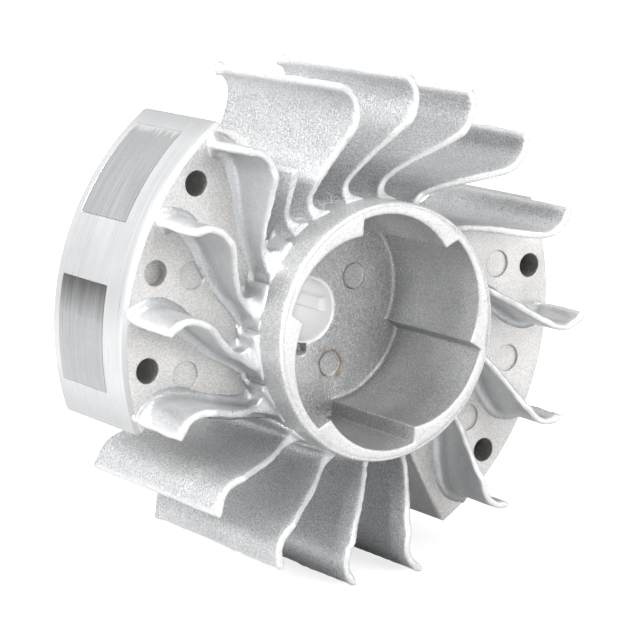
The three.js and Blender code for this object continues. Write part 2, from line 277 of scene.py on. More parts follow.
def castFinish(name, light, dark, roughness, grain, warm=0.0, turnedBand=False, worked=False):
    # die-cast aluminium: a grain with painted glints, slow patches, edges brightened by wear, painted shade
    # in hollows and on the short fins, and painted light in the pocket round the cut-off fin
    f = Finish(name)
    patches = f.span(f.noise(casting["patchScale"], 4.0, 0.6), 0.35, 0.68)
    fine = f.noise(casting["grainScale"], 1.5, 0.6)
    lively = f.math("SUBTRACT", 1.0, f.math("MULTIPLY", f.flag("calm"), casting["calmShare"]))
    coarse = f.noise(900.0, 3.0, 0.6)
    # painted highlight: near-white glints scattered through the grain
    glints = f.span(f.noise(3600.0, 1.0, 0.5), casting["glintsFrom"], casting["glintsTo"])
    edge = f.flag("edge")
    # painted shade: ambient occlusion darkens the colour in hollows and corners
    hollow = f.add("ShaderNodeAmbientOcclusion", {"Distance": 0.007}, samples=6).outputs["AO"]
    # painted light: the pocket round the cut-off fin is made paler, loses the painted hollow shade and is
    # made less metallic
    pocketLight = f.flag("open")
    hollow = f.math("MAXIMUM", hollow, pocketLight)
    base = f.mix(patches, grey(dark, warm), grey(light, warm))
    base = f.mix(f.math("MULTIPLY", pocketLight, 0.8), base, grey(0.93, warm))
    base = f.mix(f.span(hollow, 0.2, 0.85), grey(dark * 0.78, warm), base)
    grainAndShortFinShade = f.span(fine, 0.34, 0.66, -0.26 * grain, 0.17 * grain)
    # painted shade: the short fins' colour is darkened a little
    plain = f.math("SUBTRACT", 1.0, f.math("MULTIPLY", f.flag("calm"), 0.06))
    grainAndShortFinShade = f.math("ADD", plain, f.math("MULTIPLY", grainAndShortFinShade, lively))
    base = f.add("ShaderNodeVectorMath", {0: base, "Scale": grainAndShortFinShade}, operation="SCALE").outputs[0]
    # painted highlight: the glints mix the colour towards near-white
    withGlints = f.mix(f.math("MULTIPLY", f.math("MULTIPLY", glints, lively), 0.75 * grain), base, grey(0.97))
    wear = f.math("MULTIPLY", edge, f.span(coarse, 0.3, 0.6, 0.45, 0.95))
    wornAndShaded = f.mix(wear, withGlints, grey(casting["wornEdge"]))
    rough = f.span(patches, 0.0, 1.0, roughness + 0.06, roughness - 0.05)
    rough = f.math("ADD", rough, f.span(fine, 0.3, 0.7, -0.1, 0.1))
    pits = f.span(coarse, 0.3, 0.75)
    soft = f.add("ShaderNodeBevel", {"Radius": 0.00035}, samples=4).outputs[0]
    low = f.bump(pits, 0.35 * grain, 0.00018, soft)
    metal = f.math("SUBTRACT", 0.8, f.math("MULTIPLY", f.math("MAXIMUM", edge, pocketLight), 0.4))
    normal = f.bump(fine, f.math("MULTIPLY", lively, 0.9 * grain), casting["grainDepth"], low)
    if worked:
        wornAndShaded, rough, metal, normal = machinedFaces(f, wornAndShaded, rough, metal, normal, soft)
        wornAndShaded = floorSeamShadeAndRust(f, wornAndShaded)
    if turnedBand:
        wornAndShaded, rough, normal = groundBand(f, wornAndShaded, rough, normal, soft)
    return f.set(Base_Color=wornAndShaded, Roughness=rough, Metallic=metal, Normal=normal)


def machinedFaces(f, colour, rough, metal, normal, soft):
    # the bore and the hub's rear face are cut smooth, with fine rings; their near-white, non-metallic colour
    # is partly their bright cut finish and partly a painted reflection
    machined = f.flag("machined")
    rings = f.streaks((60.0, 5200.0, 60.0), 3.0, 0.6)
    # painted reflection: near-white, non-metallic colour on the machined faces
    colour = f.mix(machined, colour, grey(0.97))
    rough = f.add("ShaderNodeMix", {0: machined, 2: rough, 3: 0.18}).outputs[0]
    metal = f.math("SUBTRACT", metal, f.math("MULTIPLY", machined, 0.8))
    cutLines = f.bump(rings, 0.25, 0.00003, soft)
    return colour, rough, metal, f.blendNormals(machined, normal, cutLines)


def groundBand(f, colour, rough, normal, soft):
    # the outer band is turned bright, with painted shade on its front bevel and towards the magnet sector's
    # ends
    parts = f.add("ShaderNodeSeparateXYZ", {0: f.where})
    across = f.add("ShaderNodeCombineXYZ", {"X": parts.outputs[0], "Y": parts.outputs[2]}).outputs[0]
    out = f.add("ShaderNodeVectorMath", {0: across}, operation="LENGTH").outputs["Value"]
    band = f.span(out, casting["bandFrom"], casting["bandFrom"] + 0.00015)
    streak = f.streaks((25.0, 2400.0, 25.0), 4.0, 0.65)
    smear = f.noise(120.0, 3.0, 0.55)
    turned = f.mix(f.span(streak, 0.3, 0.7), grey(0.72, -0.012), grey(0.84, -0.012))
    turned = f.mix(f.span(smear, 0.42, 0.7, 0.0, 0.35), turned, grey(0.62, -0.01))
    around = f.aroundFromLeft(parts)
    onMagnetSide = f.math("LESS_THAN", f.math("ABSOLUTE", around), 60.0)
    # painted shade: the band is darkened towards both ends of the magnet sector
    ends = f.math("ADD", f.span(around, -7.0, -16.0), f.span(around, 47.0, 54.0))
    ends = f.math("MULTIPLY", ends, onMagnetSide)
    turned = f.mix(f.math("MULTIPLY", ends, 0.6), turned, grey(0.52, -0.012))
    # painted shade: the front bevel is darkened
    bevel = f.span(parts.outputs[1], 0.0130, 0.0133, 1.0, 0.0)
    turned = f.mix(f.math("MULTIPLY", bevel, 0.85), turned, grey(0.45, -0.008))
    colour = f.mix(band, colour, turned)
    shine = f.math("ADD", f.span(streak, 0.3, 0.7, 0.26, 0.38), f.math("MULTIPLY", bevel, 0.25))
    rough = f.add("ShaderNodeMix", {0: band, 2: rough, 3: shine}).outputs[0]
    ground = f.bump(streak, 0.35, 0.00004, soft)
    return colour, rough, f.blendNormals(band, normal, ground)


def floorSeamShadeAndRust(f, colour):
    # thin dark lines of painted shade in the seam round the ejector marks on the cup floor, and a brown trace
    # beside one of them
    parts = f.add("ShaderNodeSeparateXYZ", {0: f.where})
    shallow = f.span(parts.outputs[1], 0.0258, 0.0262, 1.0, 0.0)
    wobble = f.noise(700.0, 2.0, 0.5)
    for k in range(4):
        cx, cz = polar(11.6 * mm, 26 + 90 * k)
        centre = (float(cx), 0.0, float(cz))
        off = f.add("ShaderNodeVectorMath", {0: f.where, 1: centre}, operation="SUBTRACT").outputs[0]
        flat = f.add("ShaderNodeVectorMath", {0: off, 1: (1.0, 0.0, 1.0)}, operation="MULTIPLY").outputs[0]
        away = f.add("ShaderNodeVectorMath", {0: flat}, operation="LENGTH").outputs["Value"]
        away = f.math("ADD", away, f.span(wobble, 0.3, 0.7, -0.0001, 0.0001))
        # painted shade: a thin dark ring where each ejector mark's edge meets the floor
        line = f.span(f.math("ABSOLUTE", f.math("SUBTRACT", away, 0.00238)), 0.00006, 0.0002, 1.0, 0.0)
        line = f.math("MULTIPLY", line, f.span(wobble, 0.36, 0.56, 0.3, 1.0))
        colour = f.mix(f.math("MULTIPLY", f.math("MULTIPLY", line, shallow), 0.75), colour, grey(0.16, 0.1))
        if k == 3:
            near = f.span(f.math("ABSOLUTE", f.math("SUBTRACT", away, 0.0026)), 0.0, 0.0011, 1.0, 0.0)
            near = f.math("MULTIPLY", near, f.span(f.noise(420.0, 4.0, 0.65), 0.42, 0.66))
            near = f.math("MULTIPLY", f.math("MULTIPLY", near, shallow), 0.85)
            colour = f.mix(near, colour, (0.30, 0.19, 0.09, 1.0))
    return colour


finishes = {
    "fin": castFinish("finCast", 0.76, 0.65, 0.38, 1.0, -0.018),
    "drum": castFinish("drumCast", 0.68, 0.56, 0.40, 0.8, -0.004, worked=True),
    "plate": castFinish("plateCast", 0.76, 0.66, 0.50, 0.6, 0.015, turnedBand=True),
}
print("finishes ready")


fin = {
    "rootRadius": 22.5,
    "tipRadius": 44.1,
    "rootLead": 13.0,
    "inner": (27.0, 15.0),
    "outer": (36.5, -13.0),
    "thickness": 1.2,
    "rootFront": 10.5,
    "frontFlat": 36.5,
    "rootBack": 33.4,
    "backFlat": 33.0,
    "back": 39.6,
    "plate": 12.2,
    "rootFillet": 3.4,
    "frontFillet": 2.3,
    "frontFlare": (0.25, 0.45),
    "plateFillet": 1.6,
    "tipBead": 0.2,
    "nib": 0.9,
}
deepTips = (103, 85, 67, 47, 24, -80, -99, -120, -142)
shortTips = (131, 152, 174, 197, -2, -27, -52)
cutTips = (114,)
cut = {"reach": 32.0, "frontRise": 4.0, "back": 33.2}


def finMiddle(share):
    ends = np.array([
        (fin["rootRadius"], fin["rootLead"]), fin["inner"], fin["outer"], (fin["tipRadius"], 0.0),
    ])
    t = np.asarray(share)[:, None]
    curve = (1 - t) ** 3 * ends[0] + 3 * t * (1 - t) ** 2 * ends[1]
    curve = curve + 3 * t * t * (1 - t) * ends[2] + t ** 3 * ends[3]
    return curve[:, 0], curve[:, 1]


def finLead(radius):
    share = np.linspace(0, 1, 400)
    r, lead = finMiddle(share)
    return np.interp(radius, r, lead, left=fin["rootLead"], right=0.0)


def frontFoot(radius, front):
    # the sloping front edge runs into the drum wall through a hollow corner
    corner = fin["frontFillet"]
    centre = fin["rootRadius"] + corner
    slope = (np.interp(centre, radius, front) - np.interp(centre + 2.0, radius, front)) / 2.0
    lean = math.hypot(1.0, slope)
    level = np.interp(centre, radius, front) - corner * lean
    off = np.clip(radius - centre, -corner, corner)
    hollow = level + np.sqrt(np.maximum(corner * corner - off * off, 0))
    return np.where(radius < centre + corner * slope / lean, hollow, front)


def finWalls(kind):
    # one fin with its tip at +X, as closed loops from the drum out to the tip
    share = np.concatenate([np.linspace(0, 0.14, 12), np.linspace(0.155, 0.95, 46), np.linspace(0.96, 1, 8)])
    radius, lead = finMiddle(share)
    short, stopped = kind == "short", kind == "cut"
    reach = cut["reach"] if stopped else fin["tipRadius"]
    if stopped:
        rounded = reach - np.array([0.8, 0.6, 0.42, 0.27, 0.15, 0.06, 0.0])
        out = np.concatenate([np.linspace(fin["rootRadius"], reach - 1.0, 30), rounded])
        radius, lead = out, np.interp(out, radius, lead)
    radius = np.concatenate([[fin["rootRadius"] - 1.2, fin["rootRadius"] - 0.5], radius])
    lead = np.concatenate([[fin["rootLead"]] * 2, lead])
    x, z = polar(radius, lead)
    along = np.gradient(np.stack([x, z], 1), axis=0)
    along /= np.linalg.norm(along, axis=1)[:, None]
    side = np.stack([-along[:, 1], along[:, 0]], 1)
    toTip = np.maximum(reach - radius, 0)
    half = np.full(len(radius), fin["thickness"] / 2)
    half *= 1 + fin["tipBead"] * np.exp(-((toTip - 0.7) / 1.1) ** 2)
    roundTip = np.sqrt(np.clip(1 - (1 - np.clip(toTip / 0.7, 0, 1)) ** 2, 0, 1))
    half *= 0.12 + 0.88 * roundTip
    fromDrum = radius - fin["rootRadius"]
    rootFlare = fillet(np.maximum(fromDrum, 0), fin["rootFillet"])
    drop = np.clip((radius - fin["rootRadius"]) / (fin["frontFlat"] - fin["rootRadius"]), 0, 1)
    front = fin["rootFront"] * (1 - drop) + 0.2
    if stopped:
        outward = np.clip((radius - fin["rootRadius"]) / (reach - fin["rootRadius"]), 0, 1)
        front = fin["rootFront"] - cut["frontRise"] * outward
    front = frontFoot(radius, front)
    fall = np.clip((radius - fin["rootRadius"]) / (fin["backFlat"] - fin["rootRadius"]), 0, 1)
    if short:
        back = np.full(len(radius), fin["plate"] + 0.6)
    elif stopped:
        back = np.full(len(radius), cut["back"])
    else:
        back = fin["rootBack"] + (fin["back"] - fin["rootBack"]) * fall
    turns = np.radians(np.linspace(0, 90, 5))
    shares = np.linspace(0.03, 0.97, 28)
    if short:
        shares = np.concatenate([np.linspace(0.06, 0.7, 10), np.linspace(0.76, 1, 9)])
    points, edge, chipped = [], [], []
    for i in range(len(radius)):
        roundness = min(half[i], 0.55)
        tucks = [roundness * (1 - math.sin(t)) for t in turns]
        drops = [roundness * (1 - math.cos(t)) for t in turns]
        ring = [(half[i] - tuck, front[i] + down) for tuck, down in zip(tucks, drops)]
        flat = [(half[i], front[i] + roundness + s * (back[i] - front[i] - 2 * roundness)) for s in shares]
        if short:
            rear = [(half[i], back[i])]
        else:
            rear = [(half[i] - tuck, back[i] - down) for tuck, down in zip(tucks[::-1], drops[::-1])]
        oneSide = ring + flat + rear
        loop = oneSide + [(-w, y) for w, y in oneSide[::-1]]
        for w, y in loop:
            fade = np.clip((y - front[i]) / 4.0, fin["frontFlare"][0 if w > 0 else 1], 1)
            if short:
                fade = abs(w) / max(half[i], 1e-6)
            wide = abs(w) + rootFlare[i] * fade
            if short and radius[i] < reach - 0.05:
                wide += fillet(max(fin["plate"] - y, 0), fin["plateFillet"]) * roundTip[i]
            if kind == "deep":
                fromNib = ((toTip[i] - 0.5) / 0.7) ** 2 + ((back[i] - 0.8 - y) / 0.9) ** 2
                wide *= 1 + fin["nib"] * math.exp(-fromNib)
            w = math.copysign(wide, w) if w else 0.0
            points.append((x[i] + side[i, 0] * w, y, z[i] + side[i, 1] * w))
            nearFront = 1 - np.clip((y - front[i]) / 0.7, 0, 1)
            nearTip = 1 - np.clip(toTip[i] / 1.0, 0, 1)
            toe = 1 - 0.75 * np.clip((wide - half[i] - 0.3) / 1.2, 0, 1)
            if short:
                toe = min(toe, np.clip(fromDrum[i] / 6.0, 0.15, 1))
            edge.append(max(nearFront * toe, nearTip * 0.9) * (0.4 if stopped else 1.0))
            chipped.append(edge[-1] * np.clip((fromDrum[i] - 1.0) / 3.0, 0, 1))
    count = len(points) // len(radius)
    faces = []
    for i in range(len(radius) - 1):
        for j in range(count):
            k = (j + 1) % count
            faces.append((i * count + j, i * count + k, (i + 1) * count + k, (i + 1) * count + j))
    faces.append(tuple(range(count))[::-1])
    last = (len(radius) - 1) * count
    faces.append(tuple(last + j for j in range(count)))
    flags = {"edge": edge, "chipped": chipped}
    flags["calm"] = [1.0 if short else 0.0] * len(points)
    return points, faces, flags


def finMaster(name, kind):
    points, faces, flags = finWalls(kind)
    made = meshObject(name, points, faces, flags)
    made.hide_render = True
    made.hide_viewport = True
    return made


def finRing():
    # the fins stand around the axis at their tip angles, and each is a little uneven as cast
    stations = bpy.data.meshes.new("finStations")
    tips = list(deepTips) + list(shortTips) + list(cutTips)
    kinds = [0.0] * len(deepTips) + [1.0] * len(shortTips) + [2.0] * len(cutTips)
    stations.from_pydata([(0, 0, 0)] * len(tips), [], [])
    for name, values in (("tip", [math.radians(-a) for a in tips]), ("kind", kinds)):
        stations.attributes.new(name, "FLOAT", "POINT").data.foreach_set("value", values)
    made = bpy.data.objects.new("fins", stations)
    bpy.context.collection.objects.link(made)
    tree = Tree("finRing")
    deepFin = tree.input("Deep fin", "Object")
    shortFin = tree.input("Short fin", "Object")
    cutFin = tree.input("Cut fin", "Object")
    wave = tree.input("Waviness", "Float", 0.00045)
    ragged = tree.input("Ragged edge", "Float", 0.0007)
    finish = tree.input("Finish", "Material")
    tip = tree.attribute("tip")
    kind = tree.attribute("kind")
    turn = tree.add("ShaderNodeCombineXYZ", {"Y": tip}).outputs[0]
    turn = tree.add("FunctionNodeEulerToRotation", {0: turn}).outputs[0]
    rings = []
    for number, master in enumerate((deepFin, shortFin, cutFin)):
        apart = tree.math("ABSOLUTE", tree.math("SUBTRACT", kind, float(number)))
        chosen = tree.math("LESS_THAN", apart, 0.5)
        blade = tree.add("GeometryNodeObjectInfo", {"Object": master}).outputs["Geometry"]
        rings.append(tree.add("GeometryNodeInstanceOnPoints", {
            "Points": tree.start.outputs[0], "Selection": chosen, "Instance": blade, "Rotation": turn,
        }).outputs[0])
    both = tree.add("GeometryNodeJoinGeometry")
    for ring in rings:
        tree.group.links.new(ring, both.inputs[0])
    solid = tree.add("GeometryNodeRealizeInstances", {"Geometry": both.outputs[0]}).outputs[0]
    lumps = tree.add("ShaderNodeTexNoise", {"Scale": 160.0, "Detail": 2.0, "Roughness": 0.5}).outputs["Color"]
    middle = (0.5, 0.5, 0.5)
    centred = tree.add("ShaderNodeVectorMath", {0: lumps, 1: middle}, operation="SUBTRACT").outputs[0]
    sway = tree.add("ShaderNodeVectorMath", {0: centred, "Scale": wave}, operation="SCALE").outputs[0]
    chips = tree.add("ShaderNodeTexNoise", {"Scale": 620.0, "Detail": 2.0, "Roughness": 0.6}).outputs["Color"]
    chips = tree.add("ShaderNodeVectorMath", {0: chips, 1: middle}, operation="SUBTRACT").outputs[0]
    depth = tree.math("MULTIPLY", tree.attribute("chipped"), ragged)
    chips = tree.add("ShaderNodeVectorMath", {0: chips, "Scale": depth}, operation="SCALE").outputs[0]
    both = tree.add("ShaderNodeVectorMath", {0: sway, 1: chips}, operation="ADD").outputs[0]
    moved = tree.add("GeometryNodeSetPosition", {"Geometry": solid, "Offset": both}).outputs[0]
    done = tree.add("GeometryNodeSetMaterial", {"Geometry": moved, "Material": finish}).outputs[0]
    tree.finish(done)
    masters = [finMaster(shape + "FinShape", shape) for shape in ("deep", "short", "cut")]
    tree.grow(made, {
        "Deep fin": masters[0], "Short fin": masters[1], "Cut fin": masters[2], "Finish": finishes["fin"],
    })
    spots = np.empty(len(made.data.vertices) * 3)
    made.data.vertices.foreach_get("co", spots)
    low, high = (np.array(corner) for corner in cadBox)
    spots = np.clip(spots.reshape(-1, 3), low + 0.00002, high - 0.00002)
    made.data.vertices.foreach_set("co", spots.ravel())
    for master in masters:
        bpy.data.objects.remove(master)
    made.data.shade_smooth()
    return made


pocket = {
    "tip": 114.0,
    "halfWidth": 14.0,
    "outer": 34.0,
    "inner": 21.9,
    "front": 3.0,
}


def paintPocketLight(obj, most):
    # marks how far the pocket round the cut-off fin is painted paler than the rest of the casting, as painted
    # light standing in for light its walls don't receive
    spots = np.empty(len(obj.data.vertices) * 3)
    obj.data.vertices.foreach_get("co", spots)
    x, y, z = spots.reshape(-1, 3).T / mm
    out = np.hypot(x, z)
    angle = np.degrees(np.arctan2(z, x)) - finLead(out)
    share = smooth((pocket["halfWidth"] - np.abs(angle - pocket["tip"])) / 3)
    share = share * smooth((pocket["outer"] - out) / 6) * smooth((out - pocket["inner"]) / 0.4)
    share = share * smooth((y - pocket["front"]) / 3)
    layer = obj.data.attributes.new("open", "FLOAT", "POINT")
    layer.data.foreach_set("value", (share * most).astype(np.float32))


fins = finRing()
paintPocketLight(fins, 0.75)
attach(fins, "root")
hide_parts("body_casting")
print("fins made:", len(fins.data.polygons))


drum = {
    "radius": 22.5,
    "depth": 24.8,
    "floorBack": 29.3,
    "skirtBack": 34.0,
    "skirtInner": 18.5,
    "hub": 12.5,
    "hubBack": 38.5,
    "boreFront": 5.6,
    "boreBack": 6.45,
    "deep": 20.8,
    "tooth": 18.2,
    "firstStep": 105.0,
    "lean": 3.0,
    "keyHalf": 1.3,
    "keyHeight": 1.1,
    "rimRound": 0.55,
    "floorFillet": 0.7,
}


def drumAngles():
    base = np.arange(0, 360, 1.0)
    extra = [base]
    for k in range(6):
        start = drum["firstStep"] - 60 * k
        extra.append(np.arange(start - 2, start + drum["lean"] + 2, 0.25))
        extra.append(np.arange(60 * k - 12, 60 * k + 12, 0.5))
    extra.append(np.arange(-18, 18, 0.5))
    extra.append(np.arange(-115, -85, 0.5))
    every = np.unique(np.round(np.mod(np.concatenate(extra), 360), 3))
    keep = np.concatenate([[True], np.diff(every) > 0.2])
    return every[keep]


def ratchetRadius(degrees):
    def raw(a):
        phase = np.mod(drum["firstStep"] - a, 60)
        ramp = drum["deep"] + (drum["tooth"] - drum["deep"]) * (phase / (60 - drum["lean"])) ** 2
        step = drum["tooth"] + (drum["deep"] - drum["tooth"]) * (phase - (60 - drum["lean"])) / drum["lean"]
        return np.where(phase <= 60 - drum["lean"], ramp, step)
    shifts = np.linspace(-0.6, 0.6, 9)
    weight = np.exp(-(shifts / 0.35) ** 2)
    return sum(w * raw(degrees + s) for w, s in zip(weight, shifts)) / weight.sum()


def floorHeight(radius, degrees):
    # the cup floor has a pit beside the bore, and round ejector marks
    x, z = polar(radius, degrees)
    y = np.full(np.shape(x), drum["depth"])
    inPit = smooth((1.05 - np.abs(x + 1.05)) / 0.2) * smooth((1.35 - np.abs(z + 6.55)) / 0.2)
    y = y + 2.2 * inPit
    for k in range(4):
        cx, cz = polar(11.6, 26 + 90 * k)
        away = np.hypot(x - cx, z - cz)
        y = y + 0.22 * smooth((2.4 - away) / 0.3)
    return y


def drumSkin():
    angles = drumAngles()
    inner = ratchetRadius(angles)
    one = np.ones(len(angles))
    signed = np.mod(angles + 180, 360) - 180
    rows = []
    worked = []

    def row(radius, y, edge=0.0, machined=0.0):
        worked.extend([0.0] * (len(rows) - len(worked)))
        worked.append(machined)
        rows.append((radius * one, y * one, edge * one))

    keyAcross = np.abs(drum["boreFront"] * np.sin(np.radians(signed)))
    keyHere = smooth((drum["keyHalf"] - keyAcross) / 0.25 + 0.5) * (np.abs(signed) < 60)
    boreRows = [0.0, 0.25, 0.5, 2.0, 2.35, 2.7, 3.05, 4.5, 7.0, 10.0, 13.0, 13.45]
    span = drum["hubBack"] - drum["depth"]
    for step in boreRows:
        wall = drum["boreFront"] + (drum["boreBack"] - drum["boreFront"]) * step / span
        mouth = 0.3 * max(0.0, 1 - step / 0.5) ** 2 + 0.25 * max(0.0, (step - 13.2) / 0.25)
        depth = smooth((step - 2.2) / 0.6)
        row(wall + mouth - drum["keyHeight"] * keyHere * depth, drum["depth"] + step + 0.05, 0.0, 1.0)
    back = drum["hubBack"]
    for share in (0.0, 0.35, 0.7, 1.0):
        row((drum["boreBack"] + 0.5) * (1 - share) + (drum["hub"] - 0.8) * share, back, 0.0, 1.0)
    for t in (30, 60, 90):
        row(drum["hub"] - 0.8 + 0.8 * math.sin(math.radians(t)), back - 0.8 + 0.8 * math.cos(math.radians(t)))
    ribs = []
    for k in range(6):
        away = np.mod(angles - 60 * k + 180, 360) - 180
        ribs.append(smooth((1.35 - np.abs(15.5 * np.radians(away))) / 0.5))
    ribs = np.max(ribs, axis=0)
    low = drum["floorBack"] + (drum["skirtBack"] - 0.4 - drum["floorBack"]) * ribs
    rows.append((drum["hub"] * one, np.maximum(back - 2.5, low + 0.1), 0 * one))
    rows.append((drum["hub"] * one, low + 1.2, 0 * one))
    for t in (20, 45, 70, 90):
        a = math.radians(t)
        rows.append(((drum["hub"] + 1.2 - 1.2 * math.cos(a)) * one, low + 1.2 - 1.2 * math.sin(a), 0 * one))
    rows.append(((drum["skirtInner"] - 1.4) * one, low, 0 * one))
    for t in (20, 45, 70, 90):
        top = np.minimum(low + 1.2 - 1.2 * math.cos(math.radians(t)), drum["skirtBack"] - 0.3)
        rows.append(((drum["skirtInner"] - 1.2 + 1.2 * math.sin(math.radians(t))) * one, top, 0 * one))
    rows.append((drum["skirtInner"] * one, np.full(len(angles), drum["skirtBack"] - 0.2), 0 * one))
    row(drum["skirtInner"] + 0.3, drum["skirtBack"])
    row(drum["radius"] - 1.5, drum["skirtBack"])
    row(drum["radius"] - 0.4, drum["skirtBack"])
    row(drum["radius"], drum["skirtBack"] - 0.4)
    for y in np.linspace(drum["skirtBack"] - 1.5, 1.6, 22):
        row(drum["radius"], y)
    r = drum["rimRound"]
    for t in (0, 30, 60, 90):
        a = math.radians(t)
        row(drum["radius"] - r + r * math.cos(a), r - r * math.sin(a), 0.35 + 0.65 * t / 90)
    row(drum["radius"] - r - 0.08, 0.11, 0.0)
    row(drum["radius"] - r - 0.16, 0.0, 1.0)
    for share in (0.35, 0.7):
        rows.append(((drum["radius"] - r) * (1 - share) + (inner + 0.25) * share, 0 * one, one))
    for t in (0, 45, 90):
        a = math.radians(t)
        lip = inner + 0.25 - 0.25 * math.sin(a)
        rows.append((lip, (0.25 - 0.25 * math.cos(a)) * one, (1 - 0.6 * t / 90) * one))
    for y in np.concatenate([[0.8], np.linspace(2, drum["depth"] - 2.6, 14)]):
        rows.append((inner, y * one, 0 * one))
    f = drum["floorFillet"]
    for t in (0, 20, 40, 60, 80):
        a = math.radians(t)
        rows.append((inner - f * (1 - math.cos(a)), (drum["depth"] - f + f * math.sin(a)) * one, 0 * one))
    reach = inner - f
    for share in np.linspace(0.0, 1.0, 44)[1:-1]:
        radius = reach * (1 - share) + (drum["boreFront"] + 0.35) * share
        rows.append((radius, floorHeight(radius, angles), 0 * one))
    points, edge = [], []
    for radius, y, flag in rows:
        x, z = polar(radius, angles)
        points.append(np.stack([x, y, z], 1))
        edge.append(flag)
    points = np.concatenate(points)
    edge = np.concatenate(edge)
    worked.extend([0.0] * (len(rows) - len(worked)))
    machined = np.repeat(worked, len(angles))
    n, m = len(angles), len(rows)
    faces = []
    for i in range(m):
        a, b = i * n, ((i + 1) % m) * n
        for j in range(n):
            k = (j + 1) % n
            faces.append((a + j, a + k, b + k, b + j))
    return points, faces, {"edge": edge * 0.55, "machined": machined}


points, faces, flags = drumSkin()
drumBody = meshObject("drum", points, faces, flags)
drumBody.data.materials.append(finishes["drum"])
paintPocketLight(drumBody, 0.1)
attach(drumBody, "root")
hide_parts("body_casting")
print("drum made:", len(drumBody.data.polygons))


sector = {
    "band": 45.47,
    "front": 12.2,
    "bevelOut": 0.5,
    "bevelIn": 1.0,
    "back": 35.68,
    "rounding": 0.5,
    "holeCircle": 41.2,
    "holeRadius": 2.2,
}
marks = ((34, 160), (34, 189), (34, 11.5), (37.6, -17), (34, -38))


def fineEnds(low, high, count, reach, steps):
    ends = np.linspace(0, reach, steps)
    return np.unique(np.concatenate([low + ends, np.linspace(low + reach, high - reach, count), high - ends]))


def sectorBlock(name, endAngle, startAngle, footRound=0.0):
    # a block between two end lines, given as angle against radius, with every edge rounded
    r0, r1 = drum["radius"] - 1.0, sector["band"]
    y0, y1 = sector["front"], sector["back"]
    rho = sector["rounding"]
    radii = fineEnds(r0, r1, 34, 0.5, 4)
    depths = fineEnds(y0, y1, 18, 1.0, 5)
    shares = fineEnds(0.0, 1.0, 70, 0.012, 5)
    grid = {}
    points, edge, faces = [], [], []

    def corner(i, j, k):
        key = (i, j, k)
        if key in grid:
            return grid[key]
        share, radius, y = shares[i], radii[j], depths[k]
        start, end = startAngle(radius), endAngle(radius)
        length = math.radians(end - start) * radius
        here = np.array([share * length, radius, y])
        low = np.array([rho * 1.4, r0, y0 + rho])
        high = np.array([length - rho * 1.4, r1 - 0.12, y1 - rho])
        inner = np.clip(here, low, high)
        off = here - inner
        far = np.linalg.norm(off / np.array([1.4, 0.24 / rho, 1.0]))
        if far > rho:
            off = off * rho / far
        spot = inner + off
        cut = sector["bevelOut"] * max(0.0, 1 - (spot[2] - y0) / sector["bevelIn"])
        if footRound:
            cut = max(cut, float(fillet(spot[0], footRound)))
        spot[1] = min(spot[1], r1 - cut)
        angle = start + math.degrees(spot[0] / radius)
        x, z = polar(spot[1], angle)
        grid[key] = len(points)
        points.append((x, spot[2], z))
        edge.append(float(spot[1] > r1 - 0.7 and spot[2] < y0 + 1.3) * 0.1)
        return grid[key]

    def face(*spots):
        faces.append([corner(*spot) for spot in spots])

    ni, nj, nk = len(shares) - 1, len(radii) - 1, len(depths) - 1
    for i in range(ni):
        for j in range(nj):
            for k in (0, nk):
                face((i, j, k), (i + 1, j, k), (i + 1, j + 1, k), (i, j + 1, k))
        for k in range(nk):
            for j in (0, nj):
                face((i, j, k), (i + 1, j, k), (i + 1, j, k + 1), (i, j, k + 1))
    for j in range(nj):
        for k in range(nk):
            for i in (0, ni):
                face((i, j, k), (i, j + 1, k), (i, j + 1, k + 1), (i, j, k + 1))
    return meshObject(name, points, faces, {"edge": edge})


def cutter(outline, y0, y1):
    # a plain tool for cutting: an outline in XZ carried along Y
    count = len(outline)
    points = [(x, y0, z) for x, z in outline] + [(x, y1, z) for x, z in outline]
    faces = [tuple(range(count))[::-1], tuple(range(count, 2 * count))]
    faces += [(i, (i + 1) % count, (i + 1) % count + count, i + count) for i in range(count)]
    return meshObject("cutter", points, faces)


def roundCutter(radius, degrees, size, y0, y1):
    cx, cz = polar(radius, degrees)
    turns = np.radians(np.arange(0, 360, 10))
    return cutter([(cx + size * math.cos(t), cz + size * math.sin(t)) for t in turns], y0, y1)


def cutAway(obj, tools):
    for tool in tools:
        change = obj.modifiers.new("cut", "BOOLEAN")
        change.operation = "DIFFERENCE"
        change.solver = "EXACT"
        change.object = tool
        bake(obj)
        bpy.data.objects.remove(tool)
    return obj


magnetAngle = 160.2


def poleOutline(side, grow):
    half = 5.55 - grow
    outer = 47.0 if grow else 45.45
    low = 32.5 - grow
    end = 30.0 + math.degrees(grow / 32.5)
    start = math.degrees(math.asin(half / outer))
    base = math.radians(magnetAngle)
    out, across = np.array([math.cos(base), math.sin(base)]), np.array([-math.sin(base), math.cos(base)])
    line = [out * low + across * side * half]
    for t in np.linspace(start, end, 24):
        line.append(np.array(polar(outer, magnetAngle + side * t)))
    line.append(out * low + across * side * low * math.tan(math.radians(end)))
    return [(p[0], p[1]) for p in line]


